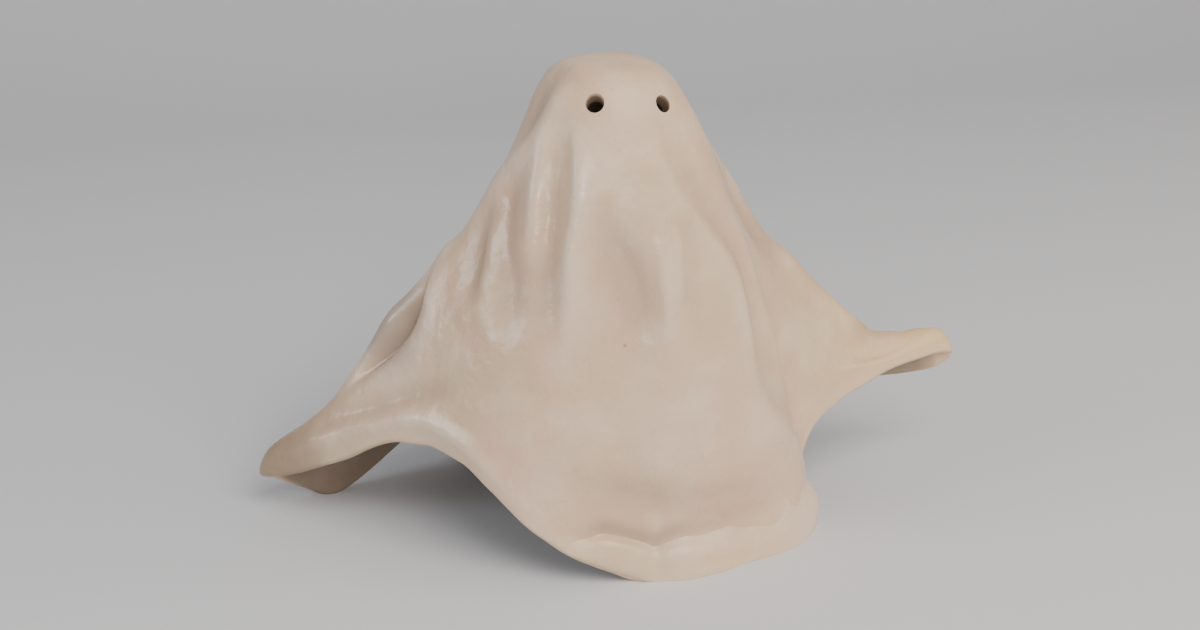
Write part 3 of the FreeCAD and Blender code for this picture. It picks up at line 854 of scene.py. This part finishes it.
def eye_punches(pen, given):
    """Two flared punches, square to the face."""
    rod = pen.node("GeometryNodeMeshCylinder", {}, {
        "Vertices": 56, "Side Segments": 44, "Fill Segments": 1,
        "Radius": given["Eye bore"] / 2, "Depth": given["Eye reach"] * 2}, out="Mesh")
    at = pen.node("GeometryNodeInputPosition")
    depth = pen.node("ShaderNodeSeparateXYZ", {}, {0: at}, out="Z")
    wider = 1.0 + given["Eye flare"] * ((depth + MOUTH) / (2 * MOUTH)).held(0.0, 4.0) ** 2.0
    scale = pen.node("ShaderNodeCombineXYZ", {}, {"X": wider, "Y": wider, "Z": 1.0})
    flared = pen.node("GeometryNodeSetPosition", {}, {"Geometry": rod, "Position": at * scale})
    left = pen.node("ShaderNodeCombineXYZ", {}, {
        "X": given["Eye middle"] - given["Eye spacing"] / 2 + AXIS[0] * MM,
        "Y": AXIS[1] * MM - given["Eye forward"], "Z": given["Eye height"]})
    step = pen.node("ShaderNodeCombineXYZ", {}, {"X": given["Eye spacing"]})
    spots = pen.node("GeometryNodeMeshLine", {"mode": "OFFSET"},
                     {"Count": 2, "Start Location": left, "Offset": step})
    which = pen.node("GeometryNodeInputIndex") * 2.0 - 1.0
    turned = pen.node("ShaderNodeCombineXYZ", {}, {
        "X": (90.0 - given["Eye pitch"]) * DEGREE, "Z": given["Eye turn"] * which * DEGREE})
    rotation = pen.node("FunctionNodeEulerToRotation", {}, {0: turned})
    pair = pen.node("GeometryNodeInstanceOnPoints", {},
                    {"Points": spots, "Instance": flared, "Rotation": rotation})
    return pen.node("GeometryNodeRealizeInstances", {}, {"Geometry": pair})


print("eyes", EYE_SIZES)

# %% [markdown]
# ## Soft clay and a flat floor
# Hands leave clay slightly uneven, in broad swells and in smaller presses, and what would hang
# below the table top is pressed flat. Both are rules for a whole piece, so one tree states them
# for the sheet and for the bead. It moves the points by noise along their way out, and takes away
# the table and, from the sheet, the two punches.

# %% The tree that works the clay
CLAY_SIZES = [
    ("Hand height", 0.0005), ("Hand size", 0.018), ("Press height", 0.00026),
    ("Press size", 0.008), ("Seed", 3.0), ("Floor width", 0.6),
]
SEED_SLANT = 3.1
TABLE_DEPTH = 0.1


def spread(pen, seed, size):
    """Noise from -1 to 1 whose swells are about size metres across."""
    spot = pen.node("GeometryNodeInputPosition")
    shift = pen.node("ShaderNodeCombineXYZ", {}, {"X": seed, "Y": seed * SEED_SLANT})
    noise = pen.node("ShaderNodeTexNoise", {},
                     {"Vector": spot + shift, "Scale": 1 / size, "Detail": 1.0})
    return (noise - 0.5) * 2.0


def table_top(pen, width):
    """A block whose top is the floor that the clay stands on."""
    size = pen.node("ShaderNodeCombineXYZ", {}, {"X": width, "Y": width, "Z": TABLE_DEPTH})
    block = pen.node("GeometryNodeMeshCube", {}, {"Size": size}, out="Mesh")
    return pen.node("GeometryNodeTransform", {},
                    {"Geometry": block, "Translation": (0.0, 0.0, -TABLE_DEPTH / 2)})


def clay_tree(name, material, eyes):
    """A tree of nodes that makes clay uneven, punches its eyes and flattens its feet."""
    tree = bpy.data.node_groups.new(name, "GeometryNodeTree")
    pen = Pen(tree)
    face = tree.interface
    face.new_socket("Geometry", in_out="INPUT", socket_type="NodeSocketGeometry")
    for label, value in CLAY_SIZES + (EYE_SIZES if eyes else []):
        face.new_socket(label, in_out="INPUT", socket_type="NodeSocketFloat").default_value = value
    face.new_socket("Geometry", in_out="OUTPUT", socket_type="NodeSocketGeometry")
    entry = tree.nodes.new("NodeGroupInput")
    given = {socket.name: Wire(pen, socket) for socket in entry.outputs if socket.name}
    swell = (spread(pen, given["Seed"], given["Hand size"]) * given["Hand height"]
             + spread(pen, given["Seed"], given["Press size"]) * given["Press height"])
    worked = pen.node("GeometryNodeSetPosition", {}, {
        "Geometry": given["Geometry"], "Offset": pen.node("GeometryNodeInputNormal") * swell})
    tools = [table_top(pen, given["Floor width"])] + ([eye_punches(pen, given)] if eyes else [])
    waste = pen.node("GeometryNodeJoinGeometry", out=None)
    for tool in tools:
        tree.links.new(tool.socket, waste.inputs[0])
    cut = pen.node("GeometryNodeMeshBoolean", {"operation": "DIFFERENCE", "solver": "MANIFOLD"},
                   {"Mesh 1": worked, "Mesh 2": Wire(pen, waste.outputs[0])}, out="Mesh")
    whole = pen.node("GeometryNodeRealizeInstances", {}, {"Geometry": cut})
    dipped = pen.node("GeometryNodeSetMaterial", {}, {"Geometry": whole, "Material": material})
    exit_node = tree.nodes.new("NodeGroupOutput")
    tree.links.new(dipped.socket, exit_node.inputs[0])
    return tree


print("clay", CLAY_SIZES)

# %% [markdown]
# ## Work both pieces
# The modifier's inputs are set by the identifier of each socket, before anything is evaluated.
# Then the evaluated shape is taken as a plain mesh and the modifier goes, so what is kept is only
# a mesh. The bead is touched more than the sheet, so its marks are a little higher and smaller.

# %% Run the trees
SHARP = math.radians(50)


def work(piece, tree, values):
    """Run a tree on a piece and keep the mesh it makes."""
    modifier = piece.modifiers.new("worked_clay", "NODES")
    modifier.node_group = tree
    for item in tree.interface.items_tree:
        if item.item_type == "SOCKET" and item.in_out == "INPUT" and item.name in values:
            modifier[item.identifier] = values[item.name]
    graph = bpy.context.evaluated_depsgraph_get()
    made = bpy.data.meshes.new_from_object(
        piece.evaluated_get(graph), preserve_all_data_layers=True, depsgraph=graph)
    piece.modifiers.clear()
    piece.data = made
    glazes = [material for material in made.materials if material]
    made.materials.clear()
    made.materials.append(glazes[0])
    made.polygons.foreach_set("material_index", [0] * len(made.polygons))
    made.shade_smooth()
    made.set_sharp_from_angle(angle=SHARP)
    print(piece.name, len(made.polygons), "faces, finish", made.materials[0].name)


work(sheet, clay_tree("worked_sheet", cream, True), {"Seed": 3.0})
work(bead, clay_tree("worked_bead", hem_cream, False),
     {"Seed": 8.0, "Hand height": 0.0006, "Hand size": 0.012})

# %% [markdown]
# ## What the sheet knows of itself
# The glaze has to know the shape under it. The push of the folds is known already, at each point of
# the grid that the sheet was made from. Two more things are worked out there: how far a point is
# from the hem along the sheet, and a thin line of painted shadow above the rolled hem, under the
# sheet's overhang, that fades at both ends.

# %% The hem's distance and the painted shadow line above the hem
# Where the painted shadow line above the rolled hem runs, and how wide it is.
ROWS_PER_MM = 0.18
SHADOW_FROM, SHADOW_FADE_IN = 28.8, 0.5
SHADOW_TO, SHADOW_FADE_OUT = 33.0, 2.5
SHADOW_ABOVE, SHADOW_WIDTH = 0.3, 0.7


def shadow_line_above_bead():
    """How dark the painted shadow line above the rolled hem is at each point of the grid."""
    stations = np.arange(AROUND) / AROUND * len(HEM)
    stations[stations < bead_line[0, 0] - 1] += len(HEM)
    tops = np.interp(stations, bead_line[:, 0], bead_line[:, 1])
    rows = np.arange(DOWN)[:, None] / (DOWN - 1) * SPANS
    above = (tops[None, :] - rows) / ROWS_PER_MM
    fade_in = np.clip((stations - SHADOW_FROM) / SHADOW_FADE_IN, 0, 1)
    fade_out = np.clip((SHADOW_TO - stations) / SHADOW_FADE_OUT, 0, 1)
    return np.exp(-((above - SHADOW_ABOVE) / SHADOW_WIDTH) ** 2) * (fade_in * fade_out)[None, :]


shadow_above_bead = shadow_line_above_bead()
lengths = np.cumsum(np.linalg.norm(np.diff(smooth[::-1], axis=0), axis=2), axis=0)
from_hem = np.concatenate([np.zeros((1, AROUND)), lengths])[::-1]
print("longest fall", from_hem.max().round(1), "mm, pooled at", int((shadow_above_bead > 0.5).sum()), "points")

# %% [markdown]
# ## What each point carries
# Each point of the worked meshes takes those numbers from the nearest point of the grid, and one
# more: how bare its clay is, by how deep it lies under the outer face, with its dark tone partly
# painted shade. Inside, bare clay starts half way through the slab. In the eye holes it starts just
# under the surface, and is darker, as painted shade in the holes.

# %% Carry them on the mesh
HEM_REACH = 5.0
EYE_LEVEL = 0.125
EYE_BARE_AND_SHADE = (0.5, 0.85)
INSIDE_BARE_AND_SHADE = (2.4, 0.75)
BARE_AND_SHADE_RISE = 0.8

ways = [Vector(way) for way in out.reshape(-1, 3)]
grid_tree = KDTree(AROUND * DOWN)
for index, point in enumerate(in_place(outer).reshape(-1, 3)):
    grid_tree.insert(point, index)
grid_tree.balance()


def learn(piece):
    """Give each point its nearness to the hem, its fold, its bare clay with painted shade, and the
    painted shadow line above the hem.
    """
    near, fold, bare_and_shade, hem_shadow = [], [], [], []
    for vertex in piece.data.vertices:
        spot, index, _ = grid_tree.find(vertex.co)
        near.append(max(0.0, 1 - from_hem.flat[index] / HEM_REACH))
        fold.append(push.flat[index])
        # Painted shadow line above the rolled hem.
        hem_shadow.append(shadow_above_bead.flat[index])
        deep = (spot - vertex.co).dot(ways[index]) / MM
        # Bare clay with painted shade: it starts sooner and goes darker in the eye holes.
        starts, most = EYE_BARE_AND_SHADE if vertex.co.z > EYE_LEVEL else INSIDE_BARE_AND_SHADE
        bare_and_shade.append(most * min(1.0, max(0.0, (deep - starts) / BARE_AND_SHADE_RISE)))
    carried = {"near_hem": near, "fold_height": fold, "bare_clay_and_shade": bare_and_shade, "shadow_above_bead": hem_shadow}
    for label, values in carried.items():
        layer = piece.data.attributes.new(label, "FLOAT", "POINT")
        layer.data.foreach_set("value", values)
    print(piece.name, "hem share", round(float(np.mean(np.array(near) > 0)), 3))


learn(sheet)
learn(bead)

# %% [markdown]
# ## Hand both pieces to the frame
# Each piece stands for the solid that it dresses, and rides on the one body that there is.

# %% Ride and replace
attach(sheet, "root")
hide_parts("draped_slab")
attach(bead, "root")
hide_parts("front_hem_roll")
print("dressed", sheet.name, bead.name)

# %% [markdown]
# ## The studio floor
# A plain pale floor, curved up behind the piece like a roll of studio paper, so no horizon cuts
# the picture. It is stage, not part of the object.

# %% The floor sweep
FLOOR_FRONT, FLOOR_BACK, HALF_FLOOR = -1.6, 0.55, 2.5
BEND_RADIUS, BEND_STEPS, WALL_TOP = 0.5, 12, 1.8


def floor_sweep():
    """A floor that curves up into a wall behind the piece."""
    profile = [(FLOOR_FRONT, 0.0), (FLOOR_BACK, 0.0)]
    for step in range(1, BEND_STEPS + 1):
        turn = math.pi / 2 * step / BEND_STEPS
        profile.append((FLOOR_BACK + BEND_RADIUS * math.sin(turn),
                        BEND_RADIUS - BEND_RADIUS * math.cos(turn)))
    profile.append((FLOOR_BACK + BEND_RADIUS, WALL_TOP))
    corners, faces = [], []
    for y, z in profile:
        corners += [(-HALF_FLOOR, y, z), (HALF_FLOOR, y, z)]
    for k in range(len(profile) - 1):
        faces.append((2 * k, 2 * k + 1, 2 * k + 3, 2 * k + 2))
    mesh = bpy.data.meshes.new("studio_floor")
    mesh.from_pydata(corners, [], faces)
    mesh.shade_smooth()
    piece = bpy.data.objects.new("studio_floor", mesh)
    bpy.context.scene.collection.objects.link(piece)
    material, pen = bare_material("studio_paper")
    shader = pen.node("ShaderNodeBsdfPrincipled", {},
                      {"Base Color": paint(214, 214, 216), "Roughness": 0.85}, out="BSDF")
    pen.node("ShaderNodeOutputMaterial", {}, {"Surface": shader}, out=None)
    mesh.materials.append(material)
    return piece


floor_sweep()
print("floor from", FLOOR_FRONT, "to", FLOOR_BACK + BEND_RADIUS, "m")

# %% [markdown]
# ## The light
# A broad lamp in front, high and to the right, does most of the work and shades the left of each
# fold. A small one, lower and straight in front, puts the points of light in the gloss. A cool
# window on the left keeps the shaded side open, and a warm lamp on the right keeps that arm from
# going grey. A little light comes from all round.

# %% Lamps and the room
LAMPS = [
    ("front_lamp", (0.3, -0.85, 0.95), (0, 0, 0.06), 0.9, 16.0, (1.0, 0.96, 0.9)),
    ("near_lamp", (-0.1, -0.8, 0.28), (0, 0, 0.1), 0.1, 1.0, (1.0, 1.0, 1.0)),
    ("window", (-1.1, -0.2, 0.5), (0, 0, 0.09), 0.45, 3.6, (0.9, 0.95, 1.0)),
    ("warm_lamp", (0.9, -0.4, 0.7), (0.03, 0, 0.06), 0.9, 4.0, (1.0, 0.9, 0.78)),
]
ROOM_COLOUR = (0.8, 0.83, 0.9, 1.0)
ROOM_LIGHT = 0.28


def lamp(name, place, aim, width, power, colour):
    """A square soft light."""
    data = bpy.data.lights.new(name, "AREA")
    data.shape, data.size, data.energy, data.color = "SQUARE", width, power, colour
    light = bpy.data.objects.new(name, data)
    light.location = place
    light.rotation_euler = (Vector(aim) - Vector(place)).to_track_quat("-Z", "Y").to_euler()
    bpy.context.scene.collection.objects.link(light)


for settings in LAMPS:
    lamp(*settings)
room = bpy.data.worlds.new("studio")
room.use_nodes = True
room.node_tree.nodes["Background"].inputs[0].default_value = ROOM_COLOUR
room.node_tree.nodes["Background"].inputs[1].default_value = ROOM_LIGHT
bpy.context.scene.world = room
print("lamps", [settings[0] for settings in LAMPS])

# %% [markdown]
# ## The camera
# The picture is taken from a little above the figure and a little to the left of its front, from
# half a metre away. The camera aims at a point near mid height on the crown's axis, moved slightly
# to the left so that the figure fills the frame evenly.

# %% Set up the camera
AZIMUTH, ELEVATION, DISTANCE = math.radians(-12.0), math.radians(20.0), 0.514
AIM_HEIGHT, AIM_RIGHT = 0.07, -0.0037

back = Vector((math.sin(AZIMUTH) * math.cos(ELEVATION), -math.cos(AZIMUTH) * math.cos(ELEVATION),
               math.sin(ELEVATION)))
right = Vector((math.cos(AZIMUTH), math.sin(AZIMUTH), 0.0))
aim = Vector((AXIS[0] * MM, AXIS[1] * MM, AIM_HEIGHT)) + right * AIM_RIGHT
view = bpy.data.cameras.new("view")
view.sensor_width, view.lens, view.clip_start = 36.0, 50.0, 0.01
camera = bpy.data.objects.new("view", view)
camera.location = aim + back * DISTANCE
camera.rotation_euler = back.to_track_quat("Z", "Y").to_euler()
bpy.context.scene.collection.objects.link(camera)
bpy.context.scene.camera = camera
print("camera at", [round(c, 3) for c in camera.location])
